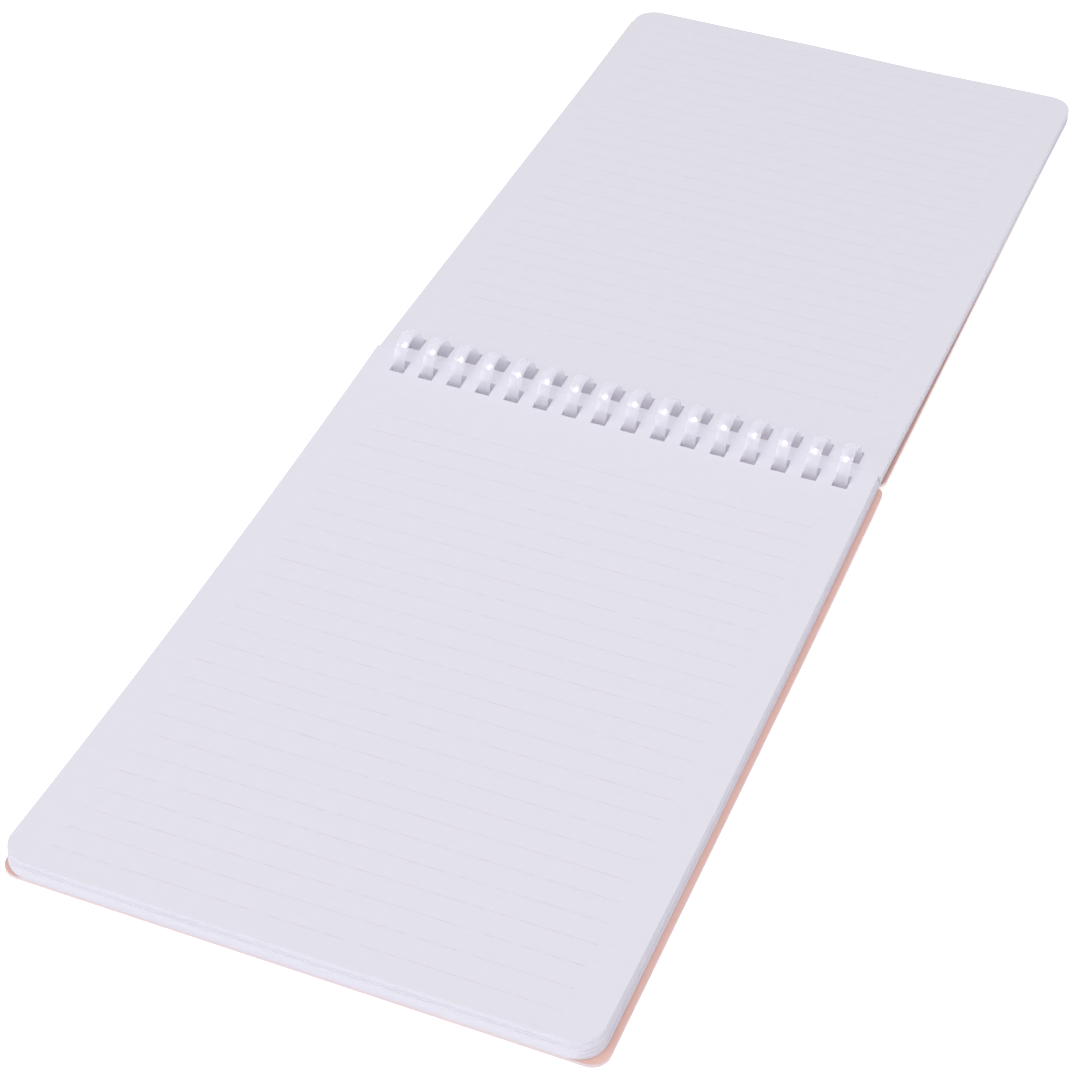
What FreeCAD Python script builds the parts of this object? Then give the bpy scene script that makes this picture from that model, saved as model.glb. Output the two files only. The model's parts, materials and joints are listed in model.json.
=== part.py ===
import FreeCAD, Part
import os
import re
from math import radians

import Sketcher

# Pocket notebook bound along its short top edge by a clear plastic ring comb, lying open and flat.
#
# Frame, in millimetres: X runs along the binding, +Y towards the half with the front cover and the
# sheets already turned over, -Y towards the half with the back cover, +Z up. The origin is on the table,
# straight below the axis of the rings, and the rings touch the table there.
#
# Every leaf is a flat panel. Its own frame starts below the ring axis, its length runs away from the
# binding and its thickness upwards. The rings hold the bound edges of the covers up from the table, and
# their free ends lie on it. Sheets are pitched wider at their free ends than at the rings, so that each
# stack fans out. A half turn about the ring axis carries a leaf from one stack to the other, and no two
# leaves share a height, so that every leaf can lie on either side.

DIMENSIONS = {
    "page_width": 105.0,
    "page_length": 148.0,
    "page_thickness": 0.078,
    "page_corner_radius": 5.0,
    "cover_thickness": 0.7,
    "cover_side_lap": 0.8,
    "cover_free_lap": 1.2,
    "cover_free_corner_radius": 3.25,
    "cover_bound_corner_radius": 2.2,
    "crease_from_axis": 14.0,
    "crease_width": 0.8,
    "crease_depth": 0.2,
    "leaf_start": 0.2,
    "hole_from_axis": 2.0,
    "hole_length": 3.8,
    "hole_width": 3.0,
    "ring_pitch": 6.14,
    "ring_count": 16,
    "ring_outer_radius": 4.9,
    "ring_wall": 0.4,
    "ring_width": 2.6,
    "bar_half_angle": 13.0,
    "bar_end_lap": 0.5,
    "finger_slit_angle": 4.0,
    "front_sheet_count": 28,
    "back_sheet_count": 22,
    "front_bound_pitch": 0.09,
    "front_free_pitch": 0.114,
    "back_bound_pitch": 0.114,
    "back_free_pitch": 0.15,
    "lay_gap": 0.03,
}

# Lengths that follow from the driving dimensions, written with their names.
COVER_WIDTH = "(page_width + 2 * cover_side_lap)"
COVER_LENGTH = "(page_length + cover_free_lap)"
PAGE_END = "(leaf_start + page_length)"
COVER_END = "(leaf_start + page_length + cover_free_lap)"
RING_SPAN = "((ring_count - 1) * ring_pitch)"
RING_INNER_RADIUS = "(ring_outer_radius - ring_wall)"
COVER_DROP = "(cover_thickness + lay_gap + front_sheet_count * front_bound_pitch)"
COVER_BOUND_HEIGHT = f"(ring_outer_radius - {COVER_DROP})"
FIRST_BOUND_HEIGHT = f"({COVER_BOUND_HEIGHT} + cover_thickness + lay_gap)"
FIRST_FREE_HEIGHT = "(cover_thickness + 1.5 * lay_gap)"

FRONT = 1
BACK = -1
ORIGIN = (-1, 1)
START, END, CENTRE = 1, 2, 3
SHEET_NAME = "Dimensions"
VOLUME_TOLERANCE = 1e-3


def bound(formula):
    """The formula as an expression that reads its words from the spreadsheet."""

    def from_sheet(word):
        return f"{SHEET_NAME}.{word[0]}" if word[0] in DIMENSIONS else word[0]

    return re.sub(r"[a-z_]+", from_sheet, formula)


def make_sheet(doc):
    """The spreadsheet that holds every driving dimension."""
    sheet = doc.addObject("Spreadsheet::Sheet", SHEET_NAME)
    for row, (word, value) in enumerate(DIMENSIONS.items(), start=1):
        sheet.set(f"A{row}", word)
        sheet.set(f"B{row}", str(value))
        sheet.setAlias(f"B{row}", word)
    doc.recompute()
    return sheet


def new_body(doc, label):
    """An empty body whose label names its file."""
    body = doc.addObject("PartDesign::Body", label)
    body.Label = label
    return body


def datum(body, role):
    """One of a body's own origin planes or axes, found by its role."""
    return next(feature for feature in body.Origin.OriginFeatures if feature.Role == role)


def new_sketch(body, name, role="XY_Plane"):
    """An empty sketch on one of the body's origin planes."""
    sketch = body.newObject("Sketcher::SketchObject", name)
    sketch.AttachmentSupport = [(datum(body, role), "")]
    sketch.MapMode = "FlatFace"
    return sketch


def measure(sketch, kind, *where, size):
    """A dimension of a sketch, tied to the spreadsheet."""
    index = sketch.addConstraint(Sketcher.Constraint(kind, *where, 1.0))
    sketch.setExpression(f"Constraints[{index}]", bound(size))


def draw_rectangle(sketch, side, left, width, start, length):
    """A rectangle that runs away from the ring axis, towards the given side, from a start distance."""
    near, far = side, 2 * side
    corners = [(-1, near), (1, near), (1, far), (-1, far)]
    points = [FreeCAD.Vector(x, y, 0) for x, y in corners]
    lines = [sketch.addGeometry(Part.LineSegment(points[n], points[(n + 1) % 4])) for n in range(4)]
    for n, line in enumerate(lines):
        sketch.addConstraint(Sketcher.Constraint("Coincident", line, END, lines[(n + 1) % 4], START))
        sketch.addConstraint(Sketcher.Constraint("Vertical" if n % 2 else "Horizontal", line))
    measure(sketch, "DistanceX", lines[0], START, *ORIGIN, size=left)
    measure(sketch, "DistanceX", lines[0], START, lines[0], END, size=width)
    axis_to_start = [*ORIGIN, lines[0], START]
    start_to_end = [lines[1], START, lines[1], END]
    if side == BACK:
        axis_to_start = axis_to_start[2:] + axis_to_start[:2]
        start_to_end = start_to_end[2:] + start_to_end[:2]
    measure(sketch, "DistanceY", *axis_to_start, size=start)
    measure(sketch, "DistanceY", *start_to_end, size=length)


def draw_band(sketch, first_angle, last_angle, first_offset, last_offset):
    """A curved band between the ring's two radii. The offsets are the sines of its ends' angles."""
    arcs = []
    outer_radius = DIMENSIONS["ring_outer_radius"]
    inner_radius = outer_radius - DIMENSIONS["ring_wall"]
    for radius, size in ((outer_radius, "ring_outer_radius"), (inner_radius, RING_INNER_RADIUS)):
        circle = Part.Circle(FreeCAD.Vector(0, 0, 0), FreeCAD.Vector(0, 0, 1), radius)
        arc = sketch.addGeometry(Part.ArcOfCircle(circle, radians(first_angle), radians(last_angle)))
        sketch.addConstraint(Sketcher.Constraint("Coincident", arc, CENTRE, *ORIGIN))
        measure(sketch, "Radius", arc, size=size)
        arcs.append((arc, size))
    for end, offset in ((START, first_offset), (END, last_offset)):
        (outer, _), (inner, _) = arcs
        edge = sketch.addGeometry(Part.LineSegment(sketch.getPoint(outer, end), sketch.getPoint(inner, end)))
        sketch.addConstraint(Sketcher.Constraint("Coincident", edge, START, outer, end))
        sketch.addConstraint(Sketcher.Constraint("Coincident", edge, END, inner, end))
        for arc, size in arcs:
            towards_back = sketch.getPoint(arc, end).x < 0
            where = (arc, end, *ORIGIN) if towards_back else (*ORIGIN, arc, end)
            measure(sketch, "DistanceX", *where, size=f"{size} * {offset}")


def pad(body, sketch, name, length, centred=False):
    """A pad of a sketch, upwards or equally to both sides."""
    feature = body.newObject("PartDesign::Pad", name)
    feature.Profile = sketch
    feature.SideType = "Symmetric" if centred else "One side"
    feature.setExpression("Length", bound(length))
    return feature


def along_x(body, feature, name, length, count):
    """A row of copies of a feature along the binding."""
    row = body.newObject("PartDesign::LinearPattern", name)
    row.Originals = [feature]
    row.Direction = (datum(body, "X_Axis"), [""])
    row.setExpression("Length", bound(length))
    row.setExpression("Occurrences", bound(count))
    body.Tip = row
    return row


def round_upright_edges(body, base, name, at_free_end, radius):
    """Rounds a panel's two corners at its free end, or the two at its bound end."""
    reach = [edge.CenterOfMass.y for edge in base.Shape.Edges]
    middle = (min(reach) + max(reach)) / 2
    chosen = []
    for number, edge in enumerate(base.Shape.Edges, start=1):
        upright = abs(edge.tangentAt(edge.FirstParameter).z) > 0.99
        beyond_middle = abs(edge.CenterOfMass.y) > abs(middle)
        if upright and beyond_middle == at_free_end:
            chosen.append(f"Edge{number}")
    fillet = body.newObject("PartDesign::Fillet", name)
    fillet.Base = (base, chosen)
    fillet.setExpression("Radius", bound(radius))
    return fillet


def punch_holes(doc, body, side, base):
    """The row of rectangular holes that the rings pass through."""
    sketch = new_sketch(body, "HoleSketch")
    draw_rectangle(sketch, side, f"{RING_SPAN} / 2 + hole_width / 2", "hole_width", "hole_from_axis", "hole_length")
    hole = body.newObject("PartDesign::Pocket", "Hole")
    hole.Profile = sketch
    hole.Type = "ThroughAll"
    hole.SideType = "Symmetric"
    row = along_x(body, hole, "HoleRow", RING_SPAN, "ring_count")
    doc.recompute()
    thickness = base.Shape.BoundBox.ZLength
    area = DIMENSIONS["hole_width"] * DIMENSIONS["hole_length"]
    expect_cut(base, row, DIMENSIONS["ring_count"] * area * thickness)
    return row


def score_crease(doc, body, side, base):
    """The scored line across a cover's outer face that lets its bound edge bend clear of the rings."""
    sketch = new_sketch(body, "CreaseSketch")
    draw_rectangle(sketch, side, f"{COVER_WIDTH} / 2", COVER_WIDTH, "crease_from_axis", "crease_width")
    crease = body.newObject("PartDesign::Pocket", "Crease")
    crease.Profile = sketch
    crease.Reversed = True
    crease.setExpression("Length", bound("crease_depth"))
    doc.recompute()
    width = DIMENSIONS["page_width"] + 2 * DIMENSIONS["cover_side_lap"]
    expect_cut(base, crease, width * DIMENSIONS["crease_width"] * DIMENSIONS["crease_depth"])
    return crease


def expect_cut(before, after, volume):
    """Stops the build if a cut did not remove the volume it should."""
    removed = before.Shape.Volume - after.Shape.Volume
    if abs(removed - volume) > VOLUME_TOLERANCE * volume:
        raise RuntimeError(f"{after.Label} removed {removed} mm3, not {volume} mm3")


def lay_down(body, side, bound_height, free_height, reach):
    """Puts a leaf in place: its height at the ring axis, and the tilt that gives its height at its end."""
    body.Placement = FreeCAD.Placement(FreeCAD.Vector(), FreeCAD.Rotation(FreeCAD.Vector(1, 0, 0), 1))
    body.setExpression("Placement.Base.z", bound(bound_height))
    tilt = f"asin(({bound_height} - {free_height}) / {reach})"
    body.setExpression("Placement.Rotation.Angle", bound(f"{-side} * {tilt}"))


def make_cover(doc, label, side):
    """A stiff cover with rounded corners, ring holes and a scored crease."""
    body = new_body(doc, label)
    outline = new_sketch(body, "Outline")
    draw_rectangle(outline, side, f"{COVER_WIDTH} / 2", COVER_WIDTH, "leaf_start", COVER_LENGTH)
    board = pad(body, outline, "Board", "cover_thickness")
    doc.recompute()
    free_corners = round_upright_edges(body, board, "FreeCorners", True, "cover_free_corner_radius")
    doc.recompute()
    corners = round_upright_edges(body, free_corners, "BoundCorners", False, "cover_bound_corner_radius")
    doc.recompute()
    punched = punch_holes(doc, body, side, corners)
    score_crease(doc, body, side, punched)
    lay_down(body, side, COVER_BOUND_HEIGHT, "0", COVER_END)
    return body


def make_page(doc, label, side, place_in_stack):
    """A sheet of paper with rounded free corners and ring holes, at its place in the stack."""
    body = new_body(doc, label)
    outline = new_sketch(body, "Outline")
    draw_rectangle(outline, side, "page_width / 2", "page_width", "leaf_start", "page_length")
    paper = pad(body, outline, "Paper", "page_thickness")
    doc.recompute()
    corners = round_upright_edges(body, paper, "FreeCorners", True, "page_corner_radius")
    doc.recompute()
    punch_holes(doc, body, side, corners)
    half = "front" if side == FRONT else "back"
    bound_height = f"({FIRST_BOUND_HEIGHT} + {place_in_stack} * {half}_bound_pitch)"
    free_height = f"({FIRST_FREE_HEIGHT} + {place_in_stack} * {half}_free_pitch)"
    lay_down(body, side, bound_height, free_height, PAGE_END)
    return body


def make_comb(doc):
    """The one-piece comb: a curved spine bar below the leaves, and one finger curled through each hole.

    A finger grows out of the bar towards the back cover, goes over the top and comes down again on the
    other side, where its tip closes against the bar's edge with a small slit.
    """
    body = new_body(doc, "ring_comb")
    bar_half, slit = DIMENSIONS["bar_half_angle"], DIMENSIONS["finger_slit_angle"]
    bar_sine = "sin(bar_half_angle * 1 deg)"
    section = new_sketch(body, "BarSection", "YZ_Plane")
    draw_band(section, 270 - bar_half, 270 + bar_half, bar_sine, bar_sine)
    pad(body, section, "Bar", f"{RING_SPAN} + ring_width + 2 * bar_end_lap", centred=True)

    curl = new_sketch(body, "FingerSection", "YZ_Plane")
    curl.setExpression("AttachmentOffset.Base.z", bound(f"-{RING_SPAN} / 2"))
    root_sine = "sin(bar_half_angle * 0.5 deg)"
    tip_sine = "sin((bar_half_angle + finger_slit_angle) * 1 deg)"
    draw_band(curl, bar_half + slit - 90, 270 - bar_half / 2, tip_sine, root_sine)
    finger = pad(body, curl, "Finger", "ring_width", centred=True)
    doc.recompute()
    along_x(body, finger, "Fingers", RING_SPAN, "ring_count")
    body.setExpression("Placement.Base.z", bound("ring_outer_radius"))
    return body


def check_document(doc, pieces):
    """Stops the build if any feature failed or any piece isn't one closed solid."""
    for thing in doc.Objects:
        if {"Invalid", "Error"} & set(thing.State):
            raise RuntimeError(f"{thing.Label} failed: {thing.State}")
    for piece in pieces:
        shape = piece.Shape
        if shape.isNull() or not shape.isValid() or len(shape.Solids) != 1:
            raise RuntimeError(f"{piece.Label} is not one valid solid")


def main():
    doc = FreeCAD.newDocument("PocketNotebook")
    make_sheet(doc)
    front_sheets = DIMENSIONS["front_sheet_count"]
    all_sheets = front_sheets + DIMENSIONS["back_sheet_count"]
    pieces = [make_comb(doc), make_cover(doc, "front_cover", FRONT), make_cover(doc, "back_cover", BACK)]
    for number in range(1, all_sheets + 1):
        turned = number <= front_sheets
        place_in_stack = number - 1 if turned else all_sheets - number
        pieces.append(make_page(doc, f"sheet_{number:02d}", FRONT if turned else BACK, place_in_stack))
    doc.recompute()
    check_document(doc, pieces)
    os.makedirs("parts", exist_ok=True)
    for piece in pieces:
        piece.Shape.exportStep(f"parts/{piece.Label}.step")


main()
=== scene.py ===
"""An open pocket notebook: ruled sheets and card covers turned on a translucent ring comb."""

import json
import math
import random

import bpy
import numpy as np
from mathutils import Matrix, Vector


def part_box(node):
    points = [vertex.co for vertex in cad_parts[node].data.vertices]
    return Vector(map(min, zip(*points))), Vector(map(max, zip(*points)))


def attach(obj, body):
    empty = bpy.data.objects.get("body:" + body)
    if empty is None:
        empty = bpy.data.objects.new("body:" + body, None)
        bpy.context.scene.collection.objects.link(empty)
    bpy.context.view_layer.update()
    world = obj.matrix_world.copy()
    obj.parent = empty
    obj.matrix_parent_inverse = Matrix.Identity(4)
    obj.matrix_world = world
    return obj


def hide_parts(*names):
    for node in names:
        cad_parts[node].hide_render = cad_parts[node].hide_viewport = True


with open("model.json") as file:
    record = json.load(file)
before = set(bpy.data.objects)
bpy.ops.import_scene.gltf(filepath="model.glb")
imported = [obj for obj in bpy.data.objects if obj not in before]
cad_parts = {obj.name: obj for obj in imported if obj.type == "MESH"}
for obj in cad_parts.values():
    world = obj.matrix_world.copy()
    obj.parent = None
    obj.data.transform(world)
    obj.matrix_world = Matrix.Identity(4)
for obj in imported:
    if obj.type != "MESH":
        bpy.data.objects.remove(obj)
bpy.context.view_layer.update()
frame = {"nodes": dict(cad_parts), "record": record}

SEED = 11

# Lengths are in millimetres and angles in degrees, and MM turns a length into metres.
MM = 0.001

RING_COUNT = 16
RING_PITCH = 6.14
RING_WIDTH = 2.6
RING_WALL = 0.4
RING_CROWN = 0.22
RING_EDGE = 0.1
RING_SEGMENT = 6.0
BAR_HALF_ANGLE = 13.0
BAR_END_LAP = 0.5
SLIT_ANGLE = 4.0
ROOT_SEGMENTS = 3
TIP_SEGMENTS = 2
TIP_TAPER = 0.18

LEAF_START = 0.2
HOLE_START = 1.8
HOLE_LENGTH = 3.8
HOLE_WIDTH = 3.0

PAGE_CORNER_RADIUS = 5.0
PAGE_ROW_STEP = 8.0
PAGE_FILL = 0.985
PAGE_SAG = {"front": 0.0, "back": 1.8}
PAGE_SLIDE_TOP = {"front": 0.0, "back": 0.5}
PAGE_SLIDE_BOTTOM = {"front": 0.0, "back": 1.3}
PAGE_SHIFT = {"front": 0.0, "back": -0.45}
PAGE_LEAN = {"front": 0.0091, "back": -0.0015}
PAGE_FAN_BOUND = {"front": 0.0, "back": 0.5}
PAGE_FAN_FREE = {"front": 0.0, "back": 0.25}
COVER_SHIFT = {"front": 0.0, "back": 0.45}
SHEET_SCATTER = 0.035
SIDEWAYS_SCATTER_SHARE = 0.4
FRONT_SHEETS = 28

# The near stack's top sheet laps over the spine, and at its sides every sheet reaches towards the spine.
CURL_POWER = 40
BOUND_EDGE_REACH = 0.85
BOUND_EDGE_LIFT = 0.045
BOUND_EDGE_LENGTH = 1.3
BOUND_EDGE_THIN = 0.45
SIDE_REACH_LOWEST = 0.088
SIDE_REACH_GAIN = 0.072

FRONT_DIP = 0.35
FRONT_DIP_PLACE = 16.0
FRONT_DIP_WIDTH = 16.0
FRONT_SWELL = 0.12
FRONT_SWELL_WIDTH = 38.0
BACK_RIPPLE = 0.1
BACK_RIPPLE_WIDTH = 21.0

COVER_THICKNESS = 0.7
COVER_FREE_RADIUS = 3.25
COVER_BOUND_RADIUS = 2.2
COVER_ROW_STEP = 6.0
COVER_DROP_LENGTH = 60.0
COVER_DROP_POWER = 1.6
LAY_GAP = 0.03
COVER_EDGE = 0.16
CREASE_FROM_AXIS = 14.0
CREASE_WIDTH = 0.8
CREASE_DEPTH = 0.2

CORNER_STEPS = 8
FRONT_FACE, BACK_FACE = 0.0, 1.0

RULE_PITCH = 4.981
RULE_COUNT = 26
RULE_START = 18.2
RULE_START_OVERLEAF = 18.27
RULE_LEFT = -45.3
RULE_RIGHT = 44.76
RULE_WIDTH = 0.26

CAMERA_TARGET = (-0.65, -41.5, 4.0)
CAMERA_DISTANCE = 512.62
CAMERA_AZIMUTH = 21.463
CAMERA_ELEVATION = 40.782
CAMERA_ROLL = 0.979
CAMERA_LENS = 92.149
CAMERA_SENSOR = 36.0

FLOOR_REACH = 6.0
FLOOR_DEPTH = 0.02
FLOOR_GLOW = 0.25
FLOOR_GLOW_SEEN = 0.6
SKY_STRENGTH = 0.5
SKY_STRENGTH_SEEN = 1.0
LIGHTS = {
    "overhead": {"place": (-0.3, -0.45, 2.0), "size": 0.9, "power": 16.5},
    "window": {"place": (-1.5, -1.3, 0.75), "size": 1.3, "power": 8.0},
    "fill": {"place": (1.6, -0.6, 0.7), "size": 1.2, "power": 6.0},
}


# ---------------------------------------------------------------- grids and meshes

def arc_rows(radius, steps):
    """Distances from an edge at which a quarter circle of that radius is crossed, going inwards."""
    return [radius * (1 - math.cos(math.radians(90 * step / steps))) for step in range(steps)]


def even_steps(first, last, step):
    """Points from first to last, ends included, no further apart than step."""
    count = max(1, math.ceil((last - first) / step))
    return [first + (last - first) * number / count for number in range(count + 1)]


def ring_centres():
    first = -RING_PITCH * (RING_COUNT - 1) / 2
    return [first + RING_PITCH * number for number in range(RING_COUNT)]


def corner_half_width(distance, half_width, radius):
    """Half the width of a leaf at this distance from an edge whose corners are rounded."""
    short = np.clip(radius - distance, 0, radius)
    return half_width - radius + np.sqrt(radius**2 - short**2)


def shell_grid(columns, rows, is_open):
    """Grid points and faces of a plate: the cells that aren't open, front and back, joined by a rim.

    Returns points as an array of (across, along, depth) and lists of front, back and rim faces."""
    wide = len(columns)
    cells = []
    for row in range(len(rows) - 1):
        for column in range(wide - 1):
            across = (columns[column] + columns[column + 1]) / 2
            along = (rows[row] + rows[row + 1]) / 2
            if not is_open(across, along):
                corner = row * wide + column
                cells.append((corner, corner + 1, corner + wide + 1, corner + wide))
    edges = {(cell[k], cell[(k + 1) % 4]) for cell in cells for k in range(4)}
    border = sorted(edge for edge in edges if edge[::-1] not in edges)
    used = sorted({point for cell in cells for point in cell})
    place = {point: number for number, point in enumerate(used)}
    lift = len(used)
    front = [tuple(place[point] for point in cell) for cell in cells]
    back = [tuple(number + lift for number in reversed(face)) for face in front]
    rim = [(place[b], place[a], place[a] + lift, place[b] + lift) for a, b in border]
    flat = [(columns[point % wide], rows[point // wide]) for point in used]
    points = [(*point, FRONT_FACE) for point in flat] + [(*point, BACK_FACE) for point in flat]
    return np.array(points), front, back, rim


def shell_object(name, grid, place, plane, facing_up):
    """A mesh object from a shell grid.

    place turns arrays of across, along and depth into positions in mm, and plane turns them into the
    coordinates on the material, which the "sheet" UV map holds in mm."""
    points, front, back, rim = grid
    faces = front + back + rim
    if not facing_up:
        faces = [tuple(reversed(face)) for face in faces]
    mesh = bpy.data.meshes.new(name)
    mesh.from_pydata((place(*points.T) * MM).tolist(), [], faces)
    corners = np.empty(len(mesh.loops), np.int32)
    mesh.loops.foreach_get("vertex_index", corners)
    mesh.uv_layers.new(name="sheet").data.foreach_set("uv", plane(*points.T)[corners].ravel())
    is_rim = np.zeros(len(faces), np.float32)
    is_rim[len(front) + len(back):] = 1
    mesh.attributes.new("rim", "FLOAT", "FACE").data.foreach_set("value", is_rim)
    mesh.shade_smooth()
    mesh.set_sharp_from_angle(angle=math.radians(40))
    made = bpy.data.objects.new(name, mesh)
    bpy.context.scene.collection.objects.link(made)
    return made


def in_ring_hole(across, along):
    if not HOLE_START < along < HOLE_START + HOLE_LENGTH:
        return False
    return min(abs(across - centre) for centre in ring_centres()) < HOLE_WIDTH / 2


def leaf_grid(half_width, length, free_radius, bound_radius, row_step, extra_rows=()):
    """The grid of a punched leaf. Across is from its middle line and along is from its bound edge."""
    margin = HOLE_WIDTH / 2 + ring_centres()[-1]
    columns = {centre + side * HOLE_WIDTH / 2 for centre in ring_centres() for side in (-1, 1)}
    columns |= {side * point for side in (-1, 1) for point in even_steps(margin, half_width, 1.5)}
    rows = set(arc_rows(bound_radius, CORNER_STEPS)) if bound_radius else {0.0}
    rows |= {length - distance for distance in arc_rows(free_radius, CORNER_STEPS)}
    rows |= {HOLE_START, HOLE_START + HOLE_LENGTH, *extra_rows}
    rows |= set(even_steps(HOLE_START + HOLE_LENGTH, length - free_radius, row_step))
    columns = sorted({round(point, 4) for point in columns})
    rows = sorted({round(point, 4) for point in rows})
    return shell_grid(columns, rows, in_ring_hole)


def round_corners(across, along, half_width, length, free_radius, bound_radius):
    """Across with the outer part of each row drawn in, so that the leaf's four corners are round."""
    for distance, radius, kept in (
        (length - along, free_radius, half_width - 3 * free_radius),
        (along, bound_radius, ring_centres()[-1] + HOLE_WIDTH / 2),
    ):
        if radius:
            limit = corner_half_width(distance, half_width, radius)
            outer = np.clip(np.abs(across) - kept, 0, None)
            drawn_in = np.sign(across) * (kept + outer * (limit - kept) / (half_width - kept))
            across = np.where(outer > 0, drawn_in, across)
    return across


def leaf_heights(node):
    """Heights in mm of a leaf's upper face at its bound edge and at its free edge."""
    corners = np.array([vertex.co for vertex in frame["nodes"][node].data.vertices]) / MM
    reach = np.abs(corners[:, 1])
    bound = corners[reach < reach.min() + 0.1, 2].max()
    free = corners[reach > reach.max() - 0.1, 2].max()
    return bound, free


def leaf_size(node):
    """Half the width of a leaf, and its length, in mm."""
    low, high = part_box(node)
    return (high.x - low.x) / MM / 2, (high.y - low.y) / MM


def body_of_node(node):
    bodies = frame["record"]["behaviour"]["bodies"]
    return next(name for name, members in bodies.items() if node in members)


def finish_piece(piece, node, material):
    piece.data.materials.append(material)
    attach(piece, body_of_node(node))
    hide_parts(node)
    return piece


# ---------------------------------------------------------------- sheets

def sheet_wave(across, along, length, is_front):
    """Height in mm that the top of a stack gains from the lie of its paper."""
    reach = np.clip(along / length, 0, 1)
    if is_front:
        dip = FRONT_DIP * np.exp(-(((across - FRONT_DIP_PLACE) / FRONT_DIP_WIDTH) ** 2))
        swell = FRONT_SWELL * np.sin(math.pi * reach) * np.cos(across / FRONT_SWELL_WIDTH)
        return swell - reach**2 * dip
    return BACK_RIPPLE * reach**3 * np.sin(across / BACK_RIPPLE_WIDTH)


def cover_drop(along, length, bound_height, free_height, sags):
    """Height in mm that a cover loses from a straight line, where it drops to the table."""
    straight = bound_height + (free_height - bound_height) * along / length
    still_up = np.clip(1 - along / COVER_DROP_LENGTH, 0, 1) ** COVER_DROP_POWER
    bent = free_height + (bound_height - free_height) * still_up
    return (straight - bent) * sags


def outer_share(across, half_width):
    """0 across the row of holes, rising to 1 at a leaf's side edges."""
    margin = HOLE_WIDTH / 2 + ring_centres()[-1]
    return np.clip((np.abs(across) - margin) / (half_width - margin), 0, 1)


def make_sheet(number, sheet_count, grid, material):
    """One leaf of ruled paper, lying in its stack with a little of the looseness of real sheets.

    Each is drawn thicker than its CAD solid, as thick as its share of the stack."""
    node = f"sheet_{number:02d}"
    is_front = number <= FRONT_SHEETS
    half, side = ("front", 1) if is_front else ("back", -1)
    half_width, length = leaf_size(node)
    cover_bound, cover_free = leaf_heights(half + "_cover")
    top = f"sheet_{FRONT_SHEETS:02d}" if is_front else f"sheet_{FRONT_SHEETS + 1:02d}"
    top_bound, top_free = leaf_heights(top)
    stack_count = FRONT_SHEETS if is_front else sheet_count - FRONT_SHEETS
    rank = (number if is_front else sheet_count + 1 - number) / stack_count
    shift = PAGE_SHIFT[half] + random.gauss(0, SHEET_SCATTER) * SIDEWAYS_SCATTER_SHARE
    lean = PAGE_LEAN[half] + (PAGE_FAN_FREE[half] * (1 - rank) + random.gauss(0, SHEET_SCATTER)) / length
    slide = PAGE_SLIDE_BOTTOM[half] + (PAGE_SLIDE_TOP[half] - PAGE_SLIDE_BOTTOM[half]) * rank
    stretch = (slide + min(random.gauss(0, SHEET_SCATTER), SHEET_SCATTER)) / length
    curl = 0 if is_front else rank**CURL_POWER
    side_reach = (SIDE_REACH_LOWEST + SIDE_REACH_GAIN * rank) * (1 - curl)

    def place(across, along, depth):
        reach = along / length
        rounded = round_corners(across, along, half_width, length, PAGE_CORNER_RADIUS, 0)
        sags = PAGE_SAG[half] > 0
        floor = cover_bound + (cover_free - cover_bound) * reach + LAY_GAP
        floor = floor - cover_drop(along, length, cover_bound, cover_free, sags)
        crest = top_bound + (top_free - top_bound) * reach + sheet_wave(across, along, length, is_front)
        crest -= PAGE_SAG[half] * 4 * reach * (1 - reach)
        thickness = PAGE_FILL * (crest - floor) / stack_count
        to_hole = np.clip(1 - along / HOLE_START, 0, 1)
        thickness = thickness * (1 - BOUND_EDGE_THIN * curl * to_hole)
        height = floor + rank * (crest - floor) - depth * thickness
        height += curl * BOUND_EDGE_LIFT * np.exp(-along / BOUND_EDGE_LENGTH)
        past_hole = np.clip(along - HOLE_START - HOLE_LENGTH, 0, None)
        beside = outer_share(across, half_width)
        x = rounded + shift * beside + lean * along
        x += PAGE_FAN_BOUND[half] * (1 - rank) * outer_share(np.clip(across, 0, None), half_width)
        y = LEAF_START + along + stretch * past_hole - curl * BOUND_EDGE_REACH * to_hole
        y -= side_reach * beside * to_hole
        return np.stack([x, side * y, height], axis=1)

    def plane(across, along, depth):
        rounded = round_corners(across, along, half_width, length, PAGE_CORNER_RADIUS, 0)
        overleaf = (depth == FRONT_FACE) == is_front
        return np.stack([rounded, along - overleaf * (RULE_START_OVERLEAF - RULE_START)], axis=1)

    piece = shell_object(node + "_paper", grid, place, plane, facing_up=is_front)
    return finish_piece(piece, node, material)


def make_sheets(material):
    nodes = [name for name in frame["nodes"] if name.startswith("sheet_")]
    half_width, length = leaf_size(nodes[0])
    grid = leaf_grid(half_width, length, PAGE_CORNER_RADIUS, 0, PAGE_ROW_STEP)
    for number in range(1, len(nodes) + 1):
        make_sheet(number, len(nodes), grid, material)


# ---------------------------------------------------------------- covers

def bevel(piece, width, segments):
    """Rounds a piece's sharp edges by a width in mm, with a bevel modifier."""
    rounding = piece.modifiers.new("rounded_edges", "BEVEL")
    rounding.width = width * MM
    rounding.segments = segments
    rounding.limit_method = "ANGLE"
    rounding.angle_limit = math.radians(50)
    rounding.harden_normals = False


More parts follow.
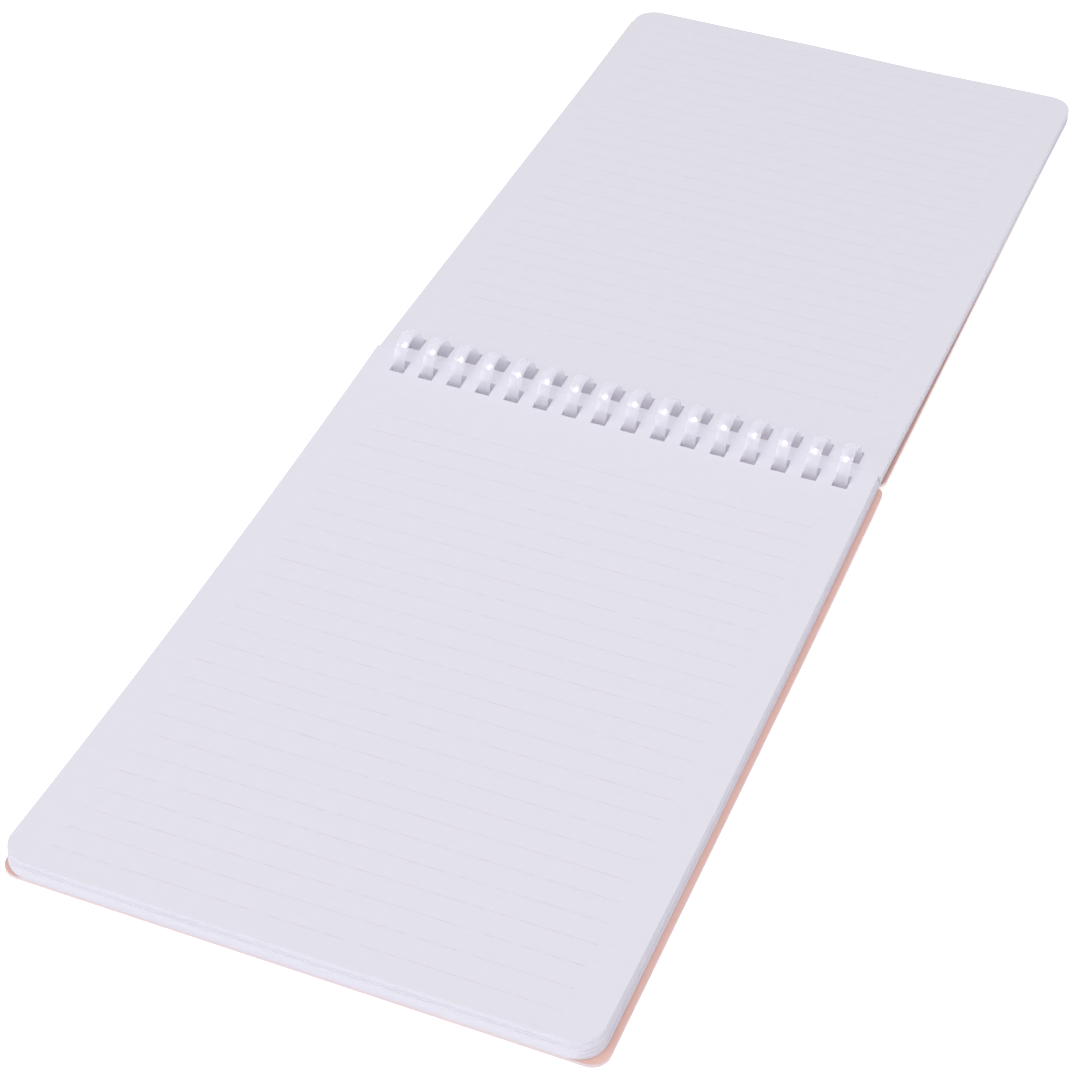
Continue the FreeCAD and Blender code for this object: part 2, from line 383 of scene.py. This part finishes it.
def make_cover(node, material):
    """A card cover with punched holes, rounded corners and a scored crease on its outside."""
    half_width, length = leaf_size(node)
    bound_height, free_height = leaf_heights(node)
    half, side = ("front", 1) if node == "front_cover" else ("back", -1)
    shift = COVER_SHIFT[half]
    crease = CREASE_FROM_AXIS - LEAF_START
    crease_rows = [crease + offset * CREASE_WIDTH for offset in (-0.5, -0.25, 0, 0.25, 0.5)]
    radii = COVER_FREE_RADIUS, COVER_BOUND_RADIUS
    grid = leaf_grid(half_width, length, *radii, COVER_ROW_STEP, crease_rows)

    def rounded(across, along):
        return round_corners(across, along, half_width, length, *radii)

    def place(across, along, depth):
        reach = along / length
        score = CREASE_DEPTH * np.clip(1 - (2 * (along - crease) / CREASE_WIDTH) ** 2, 0, 1)
        height = bound_height + (free_height - bound_height) * reach - depth * (COVER_THICKNESS - score)
        height -= cover_drop(along, length, bound_height, free_height, side < 0)
        x = rounded(across, along) + shift * outer_share(across, half_width)
        return np.stack([x, side * (LEAF_START + along), height], axis=1)

    def plane(across, along, depth):
        return np.stack([rounded(across, along), along + depth * length], axis=1)

    piece = shell_object(node + "_card", grid, place, plane, facing_up=side > 0)
    bevel(piece, COVER_EDGE, 2)
    return finish_piece(piece, node, material)


# ---------------------------------------------------------------- comb

def make_comb(material):
    """The comb, as the flat plastic it is stamped from, curled about the ring axis.

    Across is along the spine and along is the angle from the spine bar's middle, round over the top."""
    low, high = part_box("ring_comb")
    radius = (high.z - low.z) / MM / 2
    centre_height = (high.z + low.z) / MM / 2
    bar_reach = ring_centres()[-1] + RING_WIDTH / 2 + BAR_END_LAP
    last_angle = 360 - BAR_HALF_ANGLE - SLIT_ANGLE
    shares = (-1, -0.8, -0.45, 0, 0.45, 0.8, 1)
    columns = {centre + share * RING_WIDTH / 2 for centre in ring_centres() for share in shares}
    columns |= {-bar_reach, bar_reach}
    columns = sorted({round(point, 4) for point in columns})
    rows = even_steps(-BAR_HALF_ANGLE, BAR_HALF_ANGLE, RING_SEGMENT)
    rows += even_steps(BAR_HALF_ANGLE, last_angle, RING_SEGMENT)[1:]

    def finger_offset(across):
        """Distance from the middle of the nearest finger."""
        steps = np.clip(np.round((across - ring_centres()[0]) / RING_PITCH), 0, RING_COUNT - 1)
        return across - (ring_centres()[0] + RING_PITCH * steps)

    def between_fingers(across, along):
        return along > BAR_HALF_ANGLE and abs(finger_offset(across)) > RING_WIDTH / 2

    def place(across, along, depth):
        share = np.clip(np.abs(finger_offset(across)) / (RING_WIDTH / 2), 0, 1)
        on_finger = np.clip((along - BAR_HALF_ANGLE) / (ROOT_SEGMENTS * RING_SEGMENT), 0, 1)
        crown = RING_CROWN * share**2 * on_finger
        tip = np.clip(1 - (last_angle - along) / (TIP_SEGMENTS * RING_SEGMENT), 0, 1)
        taper = 1 - TIP_TAPER * tip**2
        x = across - finger_offset(across) * (1 - taper)
        reach = radius - np.where(depth == FRONT_FACE, crown, RING_WALL)
        angle = np.radians(along - 90)
        return np.stack([x, -reach * np.cos(angle), centre_height + reach * np.sin(angle)], axis=1)

    def plane(across, along, depth):
        return np.stack([across, np.radians(along) * radius], axis=1)

    grid = shell_grid(columns, rows, between_fingers)
    piece = shell_object("ring_comb_plastic", grid, place, plane, facing_up=True)
    bevel(piece, RING_EDGE, 3)
    return finish_piece(piece, "ring_comb", material)


# ---------------------------------------------------------------- materials

class Shader:
    """Adds nodes to a new material's tree and links them as they are made."""

    def __init__(self, name):
        self.material = bpy.data.materials.new(name)
        self.material.use_nodes = True
        self.tree = self.material.node_tree
        self.tree.nodes.clear()

    def add(self, kind, inputs=None, **settings):
        """A node of this kind. Each input is a value or another node's output socket."""
        made = self.tree.nodes.new("ShaderNode" + kind)
        for name, value in settings.items():
            setattr(made, name, value)
        for key, value in (inputs or {}).items():
            if isinstance(value, bpy.types.NodeSocket):
                self.tree.links.new(value, made.inputs[key])
            else:
                made.inputs[key].default_value = value
        return made

    def math(self, operation, *values):
        """The output of a math node on these values."""
        return self.add("Math", dict(enumerate(values)), operation=operation).outputs[0]

    def noise(self, vector, scale, detail=3.0, roughness=0.5):
        """Noise from 0 to 1 over a vector, with about this many features in each of its units."""
        wanted = {"Vector": vector, "Scale": scale, "Detail": detail, "Roughness": roughness}
        return self.add("TexNoise", wanted).outputs[0]

    def remap(self, value, low, high, to_low, to_high):
        """value taken from one range to another, without going past its ends."""
        wanted = {0: value, 1: low, 2: high, 3: to_low, 4: to_high}
        return self.add("MapRange", wanted, clamp=True).outputs[0]

    def mix(self, share, first, second):
        """A colour part of the way from first to second."""
        mixer = self.add("Mix", data_type="RGBA")
        for key, value in ((0, share), (6, first), (7, second)):
            if isinstance(value, bpy.types.NodeSocket):
                self.tree.links.new(value, mixer.inputs[key])
            else:
                mixer.inputs[key].default_value = value
        return mixer.outputs[2]

    def bump(self, height, distance, strength=1.0):
        """A normal tilted by a height pattern, whose full height is distance in mm."""
        wanted = {"Height": height, "Distance": distance * MM, "Strength": strength}
        return self.add("Bump", wanted).outputs[0]

    def output(self, surface):
        self.add("OutputMaterial", {"Surface": surface})
        return self.material


def rgb(red, green, blue):
    """A scene-linear colour with full alpha."""
    return red, green, blue, 1.0


def ruled_lines(shader, across, along):
    """1 on a printed line and 0 off it, from the coordinates on the sheet in mm."""
    turns = shader.math("DIVIDE", shader.math("SUBTRACT", along, RULE_START), RULE_PITCH)
    nearest = shader.math("ROUND", turns)
    apart = shader.math("ABSOLUTE", shader.math("SUBTRACT", turns, nearest))
    distance = shader.math("MULTIPLY", apart, RULE_PITCH)
    line = shader.remap(distance, RULE_WIDTH * 0.3, RULE_WIDTH * 0.7, 1.0, 0.0)
    middle, reach = (RULE_LEFT + RULE_RIGHT) / 2, (RULE_RIGHT - RULE_LEFT) / 2
    from_middle = shader.math("ABSOLUTE", shader.math("SUBTRACT", across, middle))
    within = shader.math("LESS_THAN", from_middle, reach)
    after_first = shader.math("GREATER_THAN", nearest, -0.5)
    before_last = shader.math("LESS_THAN", nearest, RULE_COUNT - 0.5)
    printed = shader.math("MULTIPLY", within, shader.math("MULTIPLY", after_first, before_last))
    return shader.math("MULTIPLY", line, printed)


def paper_material():
    """Smooth white writing paper with pale ruled lines, cloudy formation, fibres and a soft cut edge."""
    shader = Shader("ruled_paper")
    sheet = shader.add("UVMap", uv_map="sheet").outputs[0]
    parts = shader.add("SeparateXYZ", {0: sheet})
    formation = shader.noise(sheet, 0.35, 4.0, 0.6)
    fibres = shader.noise(sheet, 6.0, 3.0, 0.65)
    cloud = shader.mix(formation, rgb(0.765, 0.752, 0.83), rgb(0.80, 0.787, 0.865))
    ink_cover = shader.remap(shader.noise(sheet, 0.5, 3.0, 0.7), 0.35, 0.65, 0.1, 0.95)
    line = ruled_lines(shader, parts.outputs[0], parts.outputs[1])
    inked = shader.mix(shader.math("MULTIPLY", line, ink_cover), cloud, rgb(0.76, 0.66, 0.755))
    rim = shader.add("Attribute", attribute_name="rim").outputs[2]
    colour = shader.mix(rim, inked, rgb(0.80, 0.79, 0.87))
    wanted = {
        "Base Color": colour,
        "Roughness": shader.remap(fibres, 0.3, 0.7, 0.62, 0.8),
        "Specular IOR Level": 0.25,
        "Sheen Weight": 0.08,
        "Normal": shader.bump(fibres, 0.006),
    }
    return shader.output(shader.add("BsdfPrincipled", wanted).outputs[0])


def card_material():
    """Matt peach-pink card: fine tooth, mottling, a paler cut edge and painted shade near other pieces.
    """
    shader = Shader("peach_card")
    sheet = shader.add("UVMap", uv_map="sheet").outputs[0]
    mottle = shader.noise(sheet, 0.25, 5.0, 0.6)
    tooth = shader.noise(sheet, 4.0, 4.0, 0.7)
    body = shader.mix(mottle, rgb(0.745, 0.475, 0.42), rgb(0.81, 0.535, 0.475))
    speckle = shader.remap(tooth, 0.35, 0.75, 0.0, 0.25)
    toothed = shader.mix(speckle, body, rgb(0.87, 0.64, 0.58))
    rim = shader.add("Attribute", attribute_name="rim").outputs[2]
    # Painted contact shade: the colour goes darker where ambient occlusion finds other pieces within 2
    # mm.
    open_sky = shader.add("AmbientOcclusion", {"Distance": 2.0 * MM}, samples=4).outputs["AO"]
    painted_contact_shade = shader.mix(shader.remap(open_sky, 0.45, 0.95, 0.0, 1.0), rgb(0.60, 0.35, 0.32), toothed)
    colour = shader.mix(shader.math("MULTIPLY", rim, 0.85), painted_contact_shade, rgb(0.80, 0.72, 0.77))
    wanted = {
        "Base Color": colour,
        "Roughness": shader.remap(tooth, 0.3, 0.7, 0.55, 0.78),
        "Specular IOR Level": 0.3,
        "Normal": shader.bump(tooth, 0.02),
    }
    return shader.output(shader.add("BsdfPrincipled", wanted).outputs[0])


def plastic_material():
    """Thin clear plastic, faintly milky and glossy, with painted shade where it is seen edge-on.

    It gives off a little light and casts a light shadow, in place of the light scattered inside it."""
    shader = Shader("clear_plastic")
    sheet = shader.add("UVMap", uv_map="sheet").outputs[0]
    stretched = shader.add("Mapping", {0: sheet, 3: (3.0, 0.4, 1.0)}).outputs[0]
    drawn = shader.noise(stretched, 1.0, 2.0, 0.5)
    facing = shader.add("LayerWeight", {"Blend": 0.35}).outputs["Facing"]
    relief = shader.bump(drawn, 0.012)
    # Painted shade: the colour goes greyer towards edge-on views, in place of the dark edge that
    # refraction gives clear plastic.
    edge_on_painted_shade = shader.remap(facing, 0.7, 0.97, 0.0, 1.0)
    wanted = {
        "Color": shader.mix(edge_on_painted_shade, rgb(0.94, 0.93, 0.985), rgb(0.78, 0.76, 0.85)),
        "Roughness": shader.remap(drawn, 0.3, 0.7, 0.6, 0.8),
        "Normal": relief,
    }
    diffuse = shader.add("BsdfDiffuse", wanted).outputs[0]
    glow = shader.add("BsdfTranslucent", {"Color": rgb(0.94, 0.93, 0.985)}).outputs[0]
    milk = shader.add("MixShader", {0: 0.45, 1: diffuse, 2: glow}).outputs[0]
    # A painted glow: a faint emission in place of the light scattered inside the plastic.
    scattered = shader.add("Emission", {"Color": rgb(0.95, 0.94, 1.0), "Strength": 0.05}).outputs[0]
    lit = shader.add("AddShader", {0: milk, 1: scattered}).outputs[0]
    clear = shader.add("BsdfTransparent", {"Color": rgb(0.985, 0.985, 0.99)}).outputs[0]
    shadow = shader.add("LightPath").outputs["Is Shadow Ray"]
    milkiness = shader.remap(facing, 0.1, 0.9, 0.42, 0.62)
    density = shader.math("MULTIPLY", milkiness, shader.remap(shadow, 0, 1, 1, 0.45))
    body = shader.add("MixShader", {0: density, 1: clear, 2: lit}).outputs[0]
    grazing = shader.math("POWER", facing, 4.0)
    shine = shader.math("ADD", 0.06, shader.math("MULTIPLY", grazing, 0.3))
    gloss = shader.add("BsdfGlossy", {"Roughness": 0.1, "Normal": relief}).outputs[0]
    return shader.output(shader.add("MixShader", {0: shine, 1: body, 2: gloss}).outputs[0])


def floor_material():
    """A plain matt sweep, lit so that it is seen as pure white."""
    shader = Shader("studio_sweep")
    place = shader.add("TexCoord").outputs["Object"]
    cloud = shader.noise(place, 4.0, 2.0, 0.5)
    seen = shader.add("LightPath").outputs["Is Camera Ray"]
    wanted = {
        "Base Color": shader.mix(cloud, rgb(0.86, 0.86, 0.86), rgb(0.9, 0.9, 0.9)),
        "Roughness": 0.9,
        "Specular IOR Level": 0.1,
        "Emission Color": rgb(1.0, 1.0, 1.0),
        "Emission Strength": shader.remap(seen, 0.0, 1.0, FLOOR_GLOW, FLOOR_GLOW_SEEN),
    }
    return shader.output(shader.add("BsdfPrincipled", wanted).outputs[0])


# ---------------------------------------------------------------- floor, light and camera

def make_floor():
    mesh = bpy.data.meshes.new("floor")
    corners = [(x * FLOOR_REACH, y * FLOOR_REACH, 0) for x, y in ((-1, -1), (1, -1), (1, 1), (-1, 1))]
    mesh.from_pydata(corners, [], [(0, 1, 2, 3)])
    mesh.materials.append(floor_material())
    floor = bpy.data.objects.new("floor", mesh)
    floor.location.z = -FLOOR_DEPTH * MM
    bpy.context.scene.collection.objects.link(floor)


def make_sky():
    world = bpy.data.worlds.new("studio")
    world.use_nodes = True
    tree = world.node_tree
    seen = tree.nodes.new("ShaderNodeLightPath").outputs["Is Camera Ray"]
    strength = tree.nodes.new("ShaderNodeMapRange")
    strength.inputs["To Min"].default_value = SKY_STRENGTH
    strength.inputs["To Max"].default_value = SKY_STRENGTH_SEEN
    tree.links.new(seen, strength.inputs["Value"])
    background = tree.nodes["Background"]
    background.inputs["Color"].default_value = rgb(1.0, 1.0, 1.0)
    tree.links.new(strength.outputs["Result"], background.inputs["Strength"])
    bpy.context.scene.world = world


def make_lights():
    """Soft square lights that face the notebook."""
    for name, wanted in LIGHTS.items():
        light = bpy.data.lights.new(name, "AREA")
        light.energy = wanted["power"]
        light.size = wanted["size"]
        holder = bpy.data.objects.new(name, light)
        holder.location = wanted["place"]
        holder.rotation_mode = "QUATERNION"
        holder.rotation_quaternion = (-Vector(wanted["place"])).to_track_quat("-Z", "Y")
        bpy.context.scene.collection.objects.link(holder)


def make_camera():
    data = bpy.data.cameras.new("camera")
    data.lens = CAMERA_LENS
    data.sensor_width = CAMERA_SENSOR
    data.clip_start = 0.01
    data.clip_end = 50.0
    camera = bpy.data.objects.new("camera", data)
    azimuth, elevation = math.radians(CAMERA_AZIMUTH), math.radians(CAMERA_ELEVATION)
    level = math.cos(elevation)
    back = Vector((math.sin(azimuth) * level, -math.cos(azimuth) * level, math.sin(elevation)))
    aim = (-back).to_track_quat("-Z", "Y").to_matrix().to_4x4()
    place = Matrix.Translation((Vector(CAMERA_TARGET) + back * CAMERA_DISTANCE) * MM)
    camera.matrix_world = place @ aim @ Matrix.Rotation(math.radians(CAMERA_ROLL), 4, "Z")
    bpy.context.scene.collection.objects.link(camera)
    bpy.context.scene.camera = camera


def main():
    random.seed(SEED)
    make_sheets(paper_material())
    card = card_material()
    make_cover("front_cover", card)
    make_cover("back_cover", card)
    make_comb(plastic_material())
    make_floor()
    make_sky()
    make_lights()
    make_camera()
    bpy.context.scene.view_settings.view_transform = "Standard"


main()
